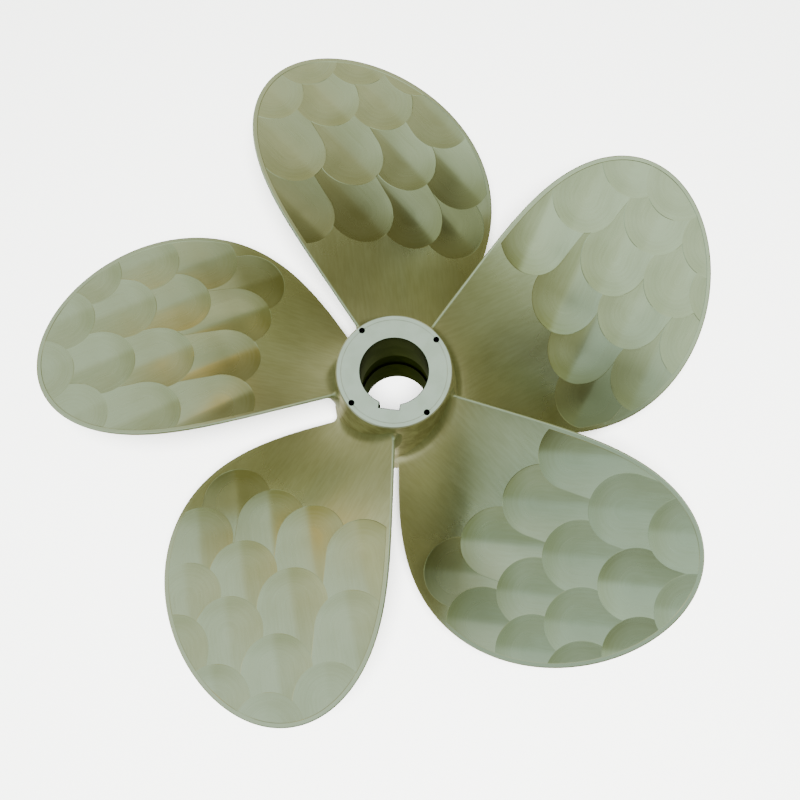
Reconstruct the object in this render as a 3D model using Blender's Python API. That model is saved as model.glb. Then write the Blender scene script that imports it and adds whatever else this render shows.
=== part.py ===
"""Ship propeller, cast in one piece with its hub: five right-handed blades, one metre across.

Metres, +Z up. +Z runs along the shaft, from the forward face of the hub, which rests on the
floor at z = 0, to the aft face. The keyway looks along -Y. The pressure faces of the blades look
aft, so up. Seen from aft, the trailing edge of each blade is its counter-clockwise side.
"""

import math

import bmesh
import bpy

MM = 0.001

DIAMETER = 1000 * MM
TIP_RADIUS = DIAMETER / 2
BLADE_COUNT = 5
FIRST_BLADE_ANGLE = math.radians(46.45)

# Hub: a barrel that widens towards the forward end, bored on a taper.
HUB_LENGTH = 227 * MM
HUB_AFT_RADIUS = 80 * MM
HUB_FORWARD_RADIUS = 95 * MM
HUB_BULGE = 2.5 * MM
RIM_CHAMFER = 1.5 * MM
BORE_AFT_RADIUS = 46.8 * MM
BORE_FORWARD_RADIUS = 51.3 * MM
BORE_CHAMFER = 1 * MM
# The middle of the bore is relieved, so the shaft seats on a land at each end.
RELIEF_RADIUS = 52.3 * MM
RELIEF_BOTTOM = 79 * MM
RELIEF_TOP = 132 * MM
RELIEF_SLOPE = 2 * MM

KEYWAY_WIDTH = 28 * MM
KEYWAY_DEPTH = 6.4 * MM

BOLT_CIRCLE_RADIUS = 73 * MM
BOLT_HOLE_RADIUS = 4.25 * MM
BOLT_HOLE_DEPTH = 22 * MM
BOLT_HOLE_COUNT = 4

# Blade drawing: (radius / tip radius, value). Between these radii each value follows the one
# polynomial that passes through them all.
BLADE_WIDTH = ((0.20, 187 * MM), (0.40, 276 * MM), (0.60, 353 * MM), (0.80, 348 * MM), (0.95, 206 * MM))
# Middle of the blade's width, along the helix, ahead of the blade's reference line.
BLADE_LEAD = ((0.20, -53 * MM), (0.50, -93 * MM), (0.80, -104 * MM), (1.00, -73 * MM))
BLADE_PITCH = ((0.20, 744 * MM), (0.60, 705 * MM), (1.00, 846 * MM))
# Height of the reference line below the aft face.
BLADE_DROP = ((0.20, 57 * MM), (0.60, 24 * MM), (1.00, 2 * MM))
BLADE_THICKNESS = ((0.0, 40 * MM), (1.00, 3 * MM))
EDGE_THICKNESS = ((0.20, 5 * MM), (1.00, 3 * MM))
# Place of the thickest point, from -1 at the leading edge to 1 at the trailing edge.
THICKEST_PLACE = ((0.20, -0.2), (1.00, 0.0))

# Root fillets: wide on the faces, tighter round the edges, and sunk a little into the hub.
FACE_FILLET = 22 * MM
EDGE_FILLET = 12 * MM
FILLET_SINK = 1.5 * MM
ROOT_DEPTH = 15 * MM
NOMINAL_ROOT = 0.18

HUB_STEPS = 72
BARREL_STEPS = 8
WIDTH_STEPS = 12
NOSE_STEPS = 4
FILLET_STEPS = 4
SPAN_STEPS = 13
LAST_SPAN = 0.985
BOLT_HOLE_SIDES = 12

CUT_MARGIN = 5 * MM


def value_at(stations, place, shape=lambda _: 1.0):
    """Value at a place, from the polynomial through all the stations, times a shape function."""
    total = 0.0
    for station, value in stations:
        weight = 1.0
        for other, _ in stations:
            if other != station:
                weight *= (place - other) / (station - other)
        total += weight * value / shape(station)
    return total * shape(place)


def tip_rounding(place):
    """The outline closes at the tip as a parabola does."""
    return math.sqrt(max(1.0 - place, 0.0))


def blade_width(place):
    """Width of the blade along its helix."""
    return value_at(BLADE_WIDTH, place, tip_rounding)


def pitch_angle(place):
    """Angle of the blade's face to the plane of rotation."""
    return math.atan2(value_at(BLADE_PITCH, place), 2 * math.pi * place * TIP_RADIUS)


def hub_radius(height):
    """Radius of the hub's barrel at a height above the forward face."""
    share = min(max(height / HUB_LENGTH, 0.0), 1.0)
    taper = HUB_FORWARD_RADIUS + (HUB_AFT_RADIUS - HUB_FORWARD_RADIUS) * share
    return taper + HUB_BULGE * 4 * share * (1 - share)


def bore_radius(height):
    """Radius of the tapered bore at a height above the forward face."""
    return BORE_FORWARD_RADIUS + (BORE_AFT_RADIUS - BORE_FORWARD_RADIUS) * height / HUB_LENGTH


def section_places():
    """Places round a section: (place across the width, turn round the nose or None, side).

    The loop runs along the pressure face from trailing to leading edge, round the leading edge,
    back along the suction face, and round the trailing edge.
    """
    across = [math.sin(math.pi / 2 * (1 - 2 * i / WIDTH_STEPS)) for i in range(WIDTH_STEPS + 1)]
    turns = [math.pi * i / NOSE_STEPS for i in range(1, NOSE_STEPS)]
    face = [(place, None, "face") for place in across]
    leading = [(-1.0, turn, "leading") for turn in turns]
    back = [(-place, None, "back") for place in across]
    trailing = [(1.0, turn, "trailing") for turn in turns]
    return face + leading + back + trailing


def section_point(place, across, turn, side):
    """Point of a section in its own plane: along the helix, and out towards the pressure side.

    The noses of both edges are round, and their centres lie on the helix.
    """
    half_width = blade_width(place) / 2
    middle = value_at(BLADE_LEAD, place)
    nose = min(value_at(EDGE_THICKNESS, place) / 2, half_width / 2)
    flat = half_width - nose
    if side == "leading":
        return (middle - flat - nose * math.sin(turn), nose * math.cos(turn))
    if side == "trailing":
        return (middle + flat + nose * math.sin(turn), -nose * math.cos(turn))
    along = middle + flat * across
    if side == "face":
        return (along, nose)
    thickest = value_at(THICKEST_PLACE, place)
    reach = 1 - thickest if across > thickest else 1 + thickest
    fullness = 1 - ((across - thickest) / reach) ** 2
    extra = max(value_at(BLADE_THICKNESS, place) - 2 * nose, 0.0)
    return (along, -nose - extra * fullness)


def outward(before, after):
    """Unit normal to the right of the way from one point to another."""
    step = (after[0] - before[0], after[1] - before[1])
    length = math.hypot(*step)
    return (step[1] / length, -step[0] / length)


def section(place, offset_of):
    """Loop of section points at a radius, each moved outwards by its own offset."""
    places = section_places()
    points = [section_point(place, *where) for where in places]
    moved = []
    for index, (along, out) in enumerate(points):
        normal = outward(points[index - 1], points[(index + 1) % len(points)])
        offset = offset_of(places[index][0])
        moved.append((along + normal[0] * offset, out + normal[1] * offset))
    return moved


def height_on_blade(place, point):
    """Height above the forward face of a section point."""
    angle = pitch_angle(place)
    line = HUB_LENGTH - value_at(BLADE_DROP, place)
    return line + point[0] * math.sin(angle) + point[1] * math.cos(angle)


def on_cylinder(radius, point, turn):
    """Point in space of a section point, wrapped round the cylinder of its radius."""
    place = radius / TIP_RADIUS
    angle = pitch_angle(place)
    around = (point[0] * math.cos(angle) - point[1] * math.sin(angle)) / radius
    azimuth = FIRST_BLADE_ANGLE + turn + around
    return (radius * math.cos(azimuth), radius * math.sin(azimuth), height_on_blade(place, point))


def fillet_radius(across):
    """Radius of the root fillet at a place across the width."""
    return EDGE_FILLET + (FACE_FILLET - EDGE_FILLET) * (1 - across * across)


def foot_radii():
    """Radius of the hub under each point of the root section."""
    foot = section(NOMINAL_ROOT, fillet_radius)
    return [hub_radius(height_on_blade(NOMINAL_ROOT, point)) for point in foot]


def blade_rows():
    """Rows of the blade from inside the hub to the tip: (radius of each point, offset)."""
    feet = foot_radii()
    fillets = [fillet_radius(where[0]) for where in section_places()]
    rows = []
    rows.append(([foot - ROOT_DEPTH for foot in feet], lambda across: EDGE_FILLET / 2))
    rows.append(([foot - 2 * FILLET_SINK for foot in feet], fillet_radius))
    for step in range(1, FILLET_STEPS + 1):
        turn = math.pi / 2 * step / FILLET_STEPS
        radii = [foot - FILLET_SINK + fillet * (1 - math.cos(turn)) for foot, fillet in zip(feet, fillets)]
        rows.append((radii, lambda across, turn=turn: fillet_radius(across) * (1 - math.sin(turn))))
    starts = rows[-1][0]
    for step in range(1, SPAN_STEPS + 1):
        share = math.sin(math.pi / 2 * LAST_SPAN * step / SPAN_STEPS)
        radii = [start + (TIP_RADIUS - start) * share for start in starts]
        rows.append((radii, lambda across: 0.0))
    return rows


def row_of_points(radii, offset_of, turn):
    """One row of points round the blade, each at its own radius."""
    points = []
    for index, radius in enumerate(radii):
        point = section(radius / TIP_RADIUS, offset_of)[index]
        points.append(on_cylinder(radius, point, turn))
    return points


def close_end(mesh, row):
    """Close an end of the blade with strips from its pressure face to its suction face."""
    face = row[: WIDTH_STEPS + 1]
    back = row[WIDTH_STEPS + NOSE_STEPS: 2 * WIDTH_STEPS + NOSE_STEPS + 1][::-1]
    leading = row[WIDTH_STEPS: WIDTH_STEPS + NOSE_STEPS + 1]
    trailing = row[2 * WIDTH_STEPS + NOSE_STEPS:] + row[:1]
    for index in range(WIDTH_STEPS):
        mesh.faces.new((face[index], face[index + 1], back[index + 1], back[index]))
    mesh.faces.new(leading)
    mesh.faces.new(trailing)


def make_object(name, mesh):
    """Turn a bmesh into an object in the scene, with its faces pointing out."""
    bmesh.ops.recalc_face_normals(mesh, faces=mesh.faces)
    data = bpy.data.meshes.new(name)
    mesh.to_mesh(data)
    mesh.free()
    result = bpy.data.objects.new(name, data)
    bpy.context.scene.collection.objects.link(result)
    return result


def make_helper(name, mesh):
    """Make an object that only shapes another one."""
    helper = make_object(name, mesh)
    helper.hide_render = True
    helper.display_type = "WIRE"
    return helper


def make_blade(number):
    """Loft one blade through its rows, with its root plug inside the hub."""
    mesh = bmesh.new()
    turn = 2 * math.pi * number / BLADE_COUNT
    rows = []
    for radii, offset_of in blade_rows():
        rows.append([mesh.verts.new(point) for point in row_of_points(radii, offset_of, turn)])
    for inner, outer in zip(rows, rows[1:]):
        for index in range(len(inner)):
            mesh.faces.new((inner[index - 1], inner[index], outer[index], outer[index - 1]))
    close_end(mesh, rows[0])
    close_end(mesh, rows[-1])
    return make_helper(f"blade_{number + 1}_form", mesh)


def hub_profile():
    """Closed half-section of the hub: (radius, height), up the barrel and down the bore."""
    low_rim = RIM_CHAMFER
    high_rim = HUB_LENGTH - RIM_CHAMFER
    barrel = []
    for step in range(BARREL_STEPS + 1):
        height = low_rim + (high_rim - low_rim) * step / BARREL_STEPS
        barrel.append((hub_radius(height), height))
    forward_face = (hub_radius(0.0) - RIM_CHAMFER, 0.0)
    aft_face = (hub_radius(HUB_LENGTH) - RIM_CHAMFER, HUB_LENGTH)
    aft_mouth = [
        (bore_radius(HUB_LENGTH) + BORE_CHAMFER, HUB_LENGTH),
        (bore_radius(HUB_LENGTH - BORE_CHAMFER), HUB_LENGTH - BORE_CHAMFER),
    ]
    relief = [
        (bore_radius(RELIEF_TOP), RELIEF_TOP),
        (RELIEF_RADIUS, RELIEF_TOP - RELIEF_SLOPE),
        (RELIEF_RADIUS, RELIEF_BOTTOM + RELIEF_SLOPE),
        (bore_radius(RELIEF_BOTTOM), RELIEF_BOTTOM),
    ]
    forward_mouth = [
        (bore_radius(BORE_CHAMFER), BORE_CHAMFER),
        (bore_radius(0.0) + BORE_CHAMFER, 0.0),
    ]
    return [forward_face] + barrel + [aft_face] + aft_mouth + relief + forward_mouth


def make_hub():
    """Turn the hub's half-section round the shaft axis."""
    mesh = bmesh.new()
    corners = [mesh.verts.new((radius, 0.0, height)) for radius, height in hub_profile()]
    edges = [mesh.edges.new((corners[index - 1], corners[index])) for index in range(len(corners))]
    bmesh.ops.spin(
        mesh,
        geom=corners + edges,
        cent=(0, 0, 0),
        axis=(0, 0, 1),
        angle=2 * math.pi,
        steps=HUB_STEPS,
        use_merge=True,
    )
    return make_object("propeller_casting", mesh)


def make_keyway_cutter():
    """Bar that follows the bore's taper and cuts the keyway at -Y."""
    mesh = bmesh.new()
    bmesh.ops.create_cube(mesh, size=1.0)
    for corner in mesh.verts:
        height = HUB_LENGTH + CUT_MARGIN if corner.co.z > 0 else -CUT_MARGIN
        floor = bore_radius(height) + KEYWAY_DEPTH
        corner.co.x = math.copysign(KEYWAY_WIDTH / 2, corner.co.x)
        corner.co.y = -floor if corner.co.y < 0 else -BORE_AFT_RADIUS / 2
        corner.co.z = height
    return make_helper("keyway_cutter", mesh)


def make_bolt_hole_cutter(number):
    """Drill that cuts one of the holes in the aft face."""
    mesh = bmesh.new()
    bmesh.ops.create_cone(
        mesh,
        cap_ends=True,
        segments=BOLT_HOLE_SIDES,
        radius1=BOLT_HOLE_RADIUS,
        radius2=BOLT_HOLE_RADIUS,
        depth=BOLT_HOLE_DEPTH + CUT_MARGIN,
    )
    drill = make_helper(f"bolt_hole_cutter_{number + 1}", mesh)
    azimuth = 2 * math.pi * (number + 0.5) / BOLT_HOLE_COUNT
    height = HUB_LENGTH + (CUT_MARGIN - BOLT_HOLE_DEPTH) / 2
    drill.location = (BOLT_CIRCLE_RADIUS * math.cos(azimuth), BOLT_CIRCLE_RADIUS * math.sin(azimuth), height)
    return drill


def combine(target, helper, operation):
    """Add a Boolean modifier that joins a helper to the target or cuts it away."""
    modifier = target.modifiers.new(f"{operation.lower()}_{helper.name}", "BOOLEAN")
    modifier.operation = operation
    modifier.solver = "EXACT"
    modifier.object = helper


def bronze_material():
    """Nickel-aluminium bronze, ground and polished."""
    material = bpy.data.materials.new("nickel_aluminium_bronze")
    material.use_nodes = True
    shader = material.node_tree.nodes["Principled BSDF"]
    shader.inputs["Base Color"].default_value = (0.40, 0.40, 0.30, 1.0)
    shader.inputs["Metallic"].default_value = 1.0
    shader.inputs["Roughness"].default_value = 0.35
    return material


def main():
    """Build the propeller."""
    for existing in list(bpy.data.objects):
        bpy.data.objects.remove(existing, do_unlink=True)
    propeller = make_hub()
    propeller.data.materials.append(bronze_material())
    for number in range(BLADE_COUNT):
        combine(propeller, make_blade(number), "UNION")
    combine(propeller, make_keyway_cutter(), "DIFFERENCE")
    for number in range(BOLT_HOLE_COUNT):
        combine(propeller, make_bolt_hole_cutter(number), "DIFFERENCE")


main()
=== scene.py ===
"""Ship propeller in nickel-aluminium bronze: the look of its ground, turned and bored surfaces.

Metres, +Z up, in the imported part's own frame: the shaft axis is Z, the forward face of the hub
rests on the floor at z = 0, and the pressure faces of the blades look aft, so up. Seen from aft,
the trailing edge of each blade is its counter-clockwise side.
"""

import logging
import math
from dataclasses import dataclass, field
from enum import Enum, IntEnum
from typing import Callable, Iterable, Sequence

import bpy
import numpy as np
from mathutils import Euler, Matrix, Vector
from mathutils.geometry import delaunay_2d_cdt

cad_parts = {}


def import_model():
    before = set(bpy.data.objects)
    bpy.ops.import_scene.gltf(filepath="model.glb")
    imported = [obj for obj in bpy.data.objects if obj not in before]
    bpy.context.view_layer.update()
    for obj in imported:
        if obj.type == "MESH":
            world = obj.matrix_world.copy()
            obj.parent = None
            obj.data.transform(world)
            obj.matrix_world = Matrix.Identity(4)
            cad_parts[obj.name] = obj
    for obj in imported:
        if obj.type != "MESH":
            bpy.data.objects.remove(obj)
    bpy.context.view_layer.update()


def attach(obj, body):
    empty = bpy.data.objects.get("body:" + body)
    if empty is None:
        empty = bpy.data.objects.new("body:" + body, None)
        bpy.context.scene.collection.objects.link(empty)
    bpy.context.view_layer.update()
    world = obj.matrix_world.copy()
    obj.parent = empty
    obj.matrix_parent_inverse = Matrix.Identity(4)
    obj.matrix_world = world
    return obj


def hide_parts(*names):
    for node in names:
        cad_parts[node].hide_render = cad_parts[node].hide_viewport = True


MM = 0.001
CASTING = "propeller_casting"
BODY = "root"

Stations = tuple[tuple[float, float], ...]
Colour = tuple[float, float, float, float]

log = logging.getLogger("propeller")


def linear(code: str) -> Colour:
    """Turn an sRGB hex code into a linear colour.

    Args:
        code: Six hex digits, with or without a hash in front.

    Returns:
        Red, green, blue and alpha for a shader.
    """
    digits = code.lstrip("#")
    values = []
    for start in (0, 2, 4):
        share = int(digits[start:start + 2], 16) / 255
        values.append(share / 12.92 if share <= 0.04045 else ((share + 0.055) / 1.055) ** 2.4)
    return (values[0], values[1], values[2], 1.0)


def value_at(stations: Stations, place: np.ndarray, shape: Callable | None = None) -> np.ndarray:
    """Value at each place, from the polynomial through all the stations.

    Args:
        stations: Pairs of place and value.
        place: Places, as shares of the tip radius.
        shape: Function that the value is a multiple of, or None.

    Returns:
        The value at each place.
    """
    place = np.asarray(place, float)
    total = np.zeros_like(place)
    for station, value in stations:
        weight = np.ones_like(place)
        for other, _ in stations:
            if other != station:
                weight = weight * (place - other) / (station - other)
        total = total + weight * value / (shape(station) if shape else 1.0)
    return total * shape(place) if shape else total


def tip_rounding(place: np.ndarray) -> np.ndarray:
    """The outline closes at the tip as a parabola does."""
    return np.sqrt(np.maximum(1.0 - place, 0.0))


def smooth_step(low: float, high: float, value: np.ndarray) -> np.ndarray:
    """Rise smoothly from 0 at the low value to 1 at the high one."""
    share = np.clip((value - low) / (high - low), 0.0, 1.0)
    return share * share * (3 - 2 * share)


def unit(vectors: np.ndarray) -> np.ndarray:
    """Vectors of length 1 in the same directions."""
    return vectors / np.linalg.norm(vectors, axis=-1, keepdims=True)


def dot(first: np.ndarray, second: np.ndarray) -> np.ndarray:
    """Dot product of each two vectors."""
    return np.einsum("ij,ij->i", first, second)


class Side(Enum):
    """The two sides of a blade."""

    FACE = "pressure face"
    BACK = "suction back"


class LoopPart(IntEnum):
    """Parts of the loop round a section of a blade, in their order."""

    FACE = 0
    LEADING_NOSE = 1
    BACK = 2
    TRAILING_NOSE = 3


@dataclass(frozen=True)
class HubDrawing:
    """Sizes of the hub, as in the part's source."""

    length: float = 227 * MM
    aft_radius: float = 80 * MM
    forward_radius: float = 95 * MM
    bulge: float = 2.5 * MM
    rim_chamfer: float = 1.5 * MM
    bore_aft_radius: float = 46.8 * MM
    bore_forward_radius: float = 51.3 * MM
    bore_chamfer: float = 1 * MM
    relief_radius: float = 52.3 * MM
    relief_bottom: float = 79 * MM
    relief_top: float = 132 * MM
    relief_slope: float = 2 * MM
    keyway_width: float = 28 * MM
    keyway_depth: float = 6.4 * MM
    bolt_circle_radius: float = 73 * MM
    bolt_hole_count: int = 4
    bolt_hole_depth: float = 22 * MM

    def radius(self, height: np.ndarray) -> np.ndarray:
        """Radius of the barrel at a height above the forward face.

        Args:
            height: Heights above the forward face.

        Returns:
            The radius at each height.
        """
        share = np.clip(np.asarray(height, float) / self.length, 0.0, 1.0)
        taper = self.forward_radius + (self.aft_radius - self.forward_radius) * share
        return taper + self.bulge * 4 * share * (1 - share)

    def bore(self, height: float) -> float:
        """Radius of the tapered bore at a height above the forward face."""
        share = height / self.length
        return self.bore_forward_radius + (self.bore_aft_radius - self.bore_forward_radius) * share


@dataclass(frozen=True)
class BladeDrawing:
    """Sizes of one blade, as in the part's source: (radius / tip radius, value)."""

    count: int = 5
    tip_radius: float = 500 * MM
    first_angle: float = math.radians(46.45)
    width: Stations = (
        (0.20, 187 * MM),
        (0.40, 276 * MM),
        (0.60, 353 * MM),
        (0.80, 348 * MM),
        (0.95, 206 * MM),
    )
    lead: Stations = ((0.20, -53 * MM), (0.50, -93 * MM), (0.80, -104 * MM), (1.00, -73 * MM))
    pitch: Stations = ((0.20, 744 * MM), (0.60, 705 * MM), (1.00, 846 * MM))
    drop: Stations = ((0.20, 57 * MM), (0.60, 24 * MM), (1.00, 2 * MM))
    thick: Stations = ((0.0, 40 * MM), (1.00, 3 * MM))
    edge: Stations = ((0.20, 5 * MM), (1.00, 3 * MM))
    thickest: Stations = ((0.20, -0.2), (1.00, 0.0))
    nominal_root: float = 0.18
    face_fillet: float = 22 * MM
    edge_fillet: float = 12 * MM
    fillet_sink: float = 1.5 * MM
    root_depth: float = 12 * MM

    def half_width(self, place: np.ndarray) -> np.ndarray:
        """Half the blade's width along its helix."""
        return value_at(self.width, place, tip_rounding) / 2

    def middle(self, place: np.ndarray) -> np.ndarray:
        """Middle of the blade's width, along the helix."""
        return value_at(self.lead, place)

    def angle(self, place: np.ndarray) -> np.ndarray:
        """Angle of the blade's face to the plane of rotation."""
        return np.arctan2(value_at(self.pitch, place), 2 * math.pi * place * self.tip_radius)

    def nose(self, place: np.ndarray) -> np.ndarray:
        """Radius of the rounded edge."""
        return value_at(self.edge, place) / 2

    def nose_inset(self) -> float:
        """How far the face and the back stop short of the outline, the same all round."""
        return float(self.nose(np.array([0.6]))[0])

    def out(self, side: Side, along: np.ndarray, radius: np.ndarray) -> np.ndarray:
        """How far the face or the back stands off the helix, towards the pressure side.

        Args:
            side: The side of the blade.
            along: Places along the helix.
            radius: Distances from the shaft axis.

        Returns:
            The distance from the helix at each place.
        """
        place = radius / self.tip_radius
        nose = self.nose(place)
        if side is Side.FACE:
            return nose
        flat = np.maximum(self.half_width(place) - nose, 1 * MM)
        across = np.clip((along - self.middle(place)) / flat, -1.0, 1.0)
        thickest = value_at(self.thickest, place)
        reach = np.where(across > thickest, 1 - thickest, 1 + thickest)
        fullness = 1 - ((across - thickest) / reach) ** 2
        extra = np.maximum(value_at(self.thick, place) - 2 * nose, 0.0)
        return -nose - extra * fullness

    def point(self, along: np.ndarray, radius: np.ndarray, out: np.ndarray) -> np.ndarray:
        """Points in space of the first blade, from places on its unrolled sections.

        Args:
            along: Places along the helix.
            radius: Distances from the shaft axis.
            out: Distances from the helix, towards the pressure side.

        Returns:
            The points, in metres.
        """
        angle = self.angle(radius / self.tip_radius)
        azimuth = self.first_angle + (along * np.cos(angle) - out * np.sin(angle)) / radius
        height = self.height(along, radius, out)
        return np.stack([radius * np.cos(azimuth), radius * np.sin(azimuth), height], axis=-1)

    def height(self, along: np.ndarray, radius: np.ndarray, out: np.ndarray) -> np.ndarray:
        """Heights above the forward face of places on the unrolled sections.

        Args:
            along: Places along the helix.
            radius: Distances from the shaft axis.
            out: Distances from the helix, towards the pressure side.

        Returns:
            The height of each place.
        """
        place = radius / self.tip_radius
        angle = self.angle(place)
        line = HUB.length - value_at(self.drop, place)
        return line + along * np.sin(angle) + out * np.cos(angle)


HUB = HubDrawing()
BLADE = BladeDrawing()


@dataclass(frozen=True)
class DiscMark:
    """Shallow mark of a grinding disc: a groove with a round end towards the hub.

    Its place is on the plan of its blade, seen from aft with the blade pointing up: to the right,
    which is the leading side, and up, away from the shaft.
    """

    right: float
    up: float
    strength: float = 1.0
    # How much painted shade darkens the mark.
    darkening: float = 0.0
    radius: float = 49 * MM
    stroke_lean: float = math.radians(25)
    groove_lean: float = math.radians(40)
    depth: float = 0.45 * MM
    step: float = 0.22 * MM
    tail: float = 105 * MM

    def along_and_across(self, plan: np.ndarray, lean: float) -> tuple[np.ndarray, np.ndarray]:
        """Place in the mark's own directions: towards its round end, and to its upper right.

        Args:
            plan: Places on the plan.
            lean: How far the directions are turned, in radians.

        Returns:
            Both distances of each place from the middle of the round end.
        """
        right = plan[..., 0] - self.right
        up = plan[..., 1] - self.up
        along = right * math.sin(lean) - up * math.cos(lean)
        across = right * math.cos(lean) + up * math.sin(lean)
        return along, across

    def inside(self, plan: np.ndarray) -> np.ndarray:
        """Distance inside the mark's outline, negative outside."""
        along, across = self.along_and_across(plan, self.stroke_lean)
        return self.radius - np.hypot(np.maximum(along, 0.0), across)

    def cut(self, plan: np.ndarray) -> np.ndarray:
        """Depth that the disc takes off.

        Args:
            plan: Places on the plan.

        Returns:
            The depth at each place.
        """
        along, across = self.along_and_across(plan, self.groove_lean)
        from_axis = np.hypot(np.maximum(along, 0.0), across) / self.radius
        return self.step + (self.depth - self.step) * np.clip(1 - from_axis ** 2, 0.0, 1.0)

    def outline(self, inset: float, spacing: float) -> np.ndarray:
        """Points down one side of the mark, round its end and up the other side.

        Args:
            inset: How far the points lie inside the outline.
            spacing: Distance from point to point.

        Returns:
            The points on the plan.
        """
        reach = self.radius - inset
        count = int(self.tail / spacing)
        down = np.linspace(-self.tail, 0.0, count)
        turns = np.linspace(0.0, math.pi, int(math.pi * reach / spacing))[1:-1]
        along = np.concatenate([down, reach * np.sin(turns), down[::-1]])
        across = np.concatenate([np.full(count, reach), reach * np.cos(turns), np.full(count, -reach)])
        sine = math.sin(self.stroke_lean)
        cosine = math.cos(self.stroke_lean)
        right = self.right + along * sine + across * cosine
        up = self.up - along * cosine + across * sine
        return np.stack([right, up], axis=-1)


# How unevenly the disc was pressed from mark to mark, and how much less hard near the tip on the
# trailing side, as shares of a row's strength.
PRESS_SWAY = 0.22
LIGHT_PRESS = 0.45


def marks_of(
    rows: Sequence[Sequence[tuple[float, float]]], presses: Sequence[tuple[float, float]]
) -> list[DiscMark]:
    """Disc marks in the order they were ground: rows from the hub out, each from the leading side.

    Args:
        rows: Rows of centres in millimetres, each from the trailing to the leading side.
        presses: For each row, how hard the disc was pressed, and how much painted shade darkens its
            marks.

    Returns:
        The marks, each over the ones before it.
    """
    marks = []
    # The factors in the sway only keep neighbours from being pressed alike.
    for row, (strength, darkening) in zip(rows, presses):
        for right, up in reversed(row):
            sway = PRESS_SWAY * math.sin(0.9 * len(marks) + 0.031 * right + 0.017 * up)
            near_trailing_tip = right < -60 and up > 300
            light = LIGHT_PRESS if near_trailing_tip else 0.0
            marks.append(DiscMark(right * MM, up * MM, strength * (1 + sway - light), darkening))
    return marks


# Rows from the hub out, on each pressure face: how hard the disc was pressed, and how much
# painted shade darkens the marks.
FACE_PRESSES = (
    ((1.2, 0.0), (0.6, 0.0), (0.35, 0.0), (0.3, 0.0)),
    ((0.95, 0.6), (0.8, 0.15), (0.55, 0.0), (0.4, 0.0)),
    ((1.3, 0.0), (0.9, 0.0), (0.7, 0.0), (0.5, 0.0)),
    ((1.2, 0.0), (0.85, 0.0), (0.6, 0.0), (0.5, 0.0)),
    ((1.15, 0.0), (1.0, 0.0), (1.0, 0.0), (0.9, 0.0)),
)
BACK_PRESSES = ((1.1, 0.2), (0.9, 0.1), (0.7, 0.0), (0.6, 0.0))

# Painted shade on the leading side of each blade's root, where the neighbouring blade hides the
# surroundings, and how much of it shows on the metal that has no disc marks.
LEAD_ROOT_SHADE = (1.0, 1.0, 0.6, 0.4, 0.85)
OPEN_ROOT_SHADE = 0.6
# Where the painted shade sets in towards the leading side, and where it ends towards the tip, on the
# plan.
ROOT_SHADE_RIGHT = (45 * MM, 130 * MM)
ROOT_SHADE_UP = (250 * MM, 400 * MM)

# Centres of the round ends of the disc marks on each pressure face, in millimetres on the plan.
FACE_MARKS = (
    (
        ((-96, 263), (-7, 273), (64, 267), (125, 252)),
        ((-117, 355), (-24, 357), (52, 350), (140, 331)),
        ((-132, 441), (-49, 437), (41, 427), (131, 412)),
        ((-78, 486), (16, 500), (85, 480)),
    ),
    (
        ((-106, 252), (-20, 261), (53, 256), (115, 243)),
        ((-108, 349), (-25, 346), (54, 341), (133, 314)),
        ((-130, 445), (-50, 436), (30, 432), (115, 405)),
        ((-75, 502), (3, 503), (88, 488)),
    ),
    (
        ((-88, 228), (-14, 243), (58, 248), (118, 244)),
        ((-122, 323), (-35, 332), (58, 336), (135, 319)),
        ((-145, 418), (-60, 408), (30, 406), (112, 398)),
        ((-92, 484), (-8, 483), (70, 470)),
    ),
    (
        ((-82, 238), (-8, 251), (56, 256), (118, 252)),
        ((-118, 327), (-32, 338), (50, 338), (132, 327)),
        ((-140, 420), (-60, 423), (25, 413), (102, 402)),
        ((-90, 492), (-8, 497), (78, 470)),
    ),
    (
        ((-102, 250), (-27, 261), (51, 261), (115, 254)),
        ((-97, 350), (-13, 352), (64, 345), (140, 326)),
        ((-130, 426), (-38, 429), (47, 418), (118, 399)),
        ((-66, 503), (20, 497), (95, 469)),
    ),
)


def back_rows(blade: int) -> list[list[tuple[float, float]]]:
    """Rows of disc marks for a suction back, which the same hand ground in the same way.

    Args:
        blade: Number of the blade.

    Returns:
        Rows of centres in millimetres, each from the trailing to the leading side.
    """
    heights_and_counts = ((245, 4), (330, 4), (412, 4), (486, 3))
    pitch = 78
    stagger = 18
    droop = 0.0011
    # The factors in both sways only keep rows and neighbours from lying alike.
    rows = []
    for row, (height, count) in enumerate(heights_and_counts):
        first = -108 + stagger * (row % 2) + 4 * math.sin(2.1 * blade + row)
        centres = []
        for column in range(count):
            right = first + pitch * column
            sway = 5 * math.sin(1.7 * blade + 2.3 * row + 1.1 * column)
            centres.append((right, height - droop * right * right + sway))
        rows.append(centres)
    return rows


def root_shade_at(plan: np.ndarray) -> np.ndarray:
    """Painted shade at places on the plan, where the neighbouring blade hides the surroundings: most on
    the leading side of the root.
    """
    leading = smooth_step(*ROOT_SHADE_RIGHT, plan[..., 0])
    return leading * (1 - smooth_step(*ROOT_SHADE_UP, plan[..., 1]))


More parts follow.
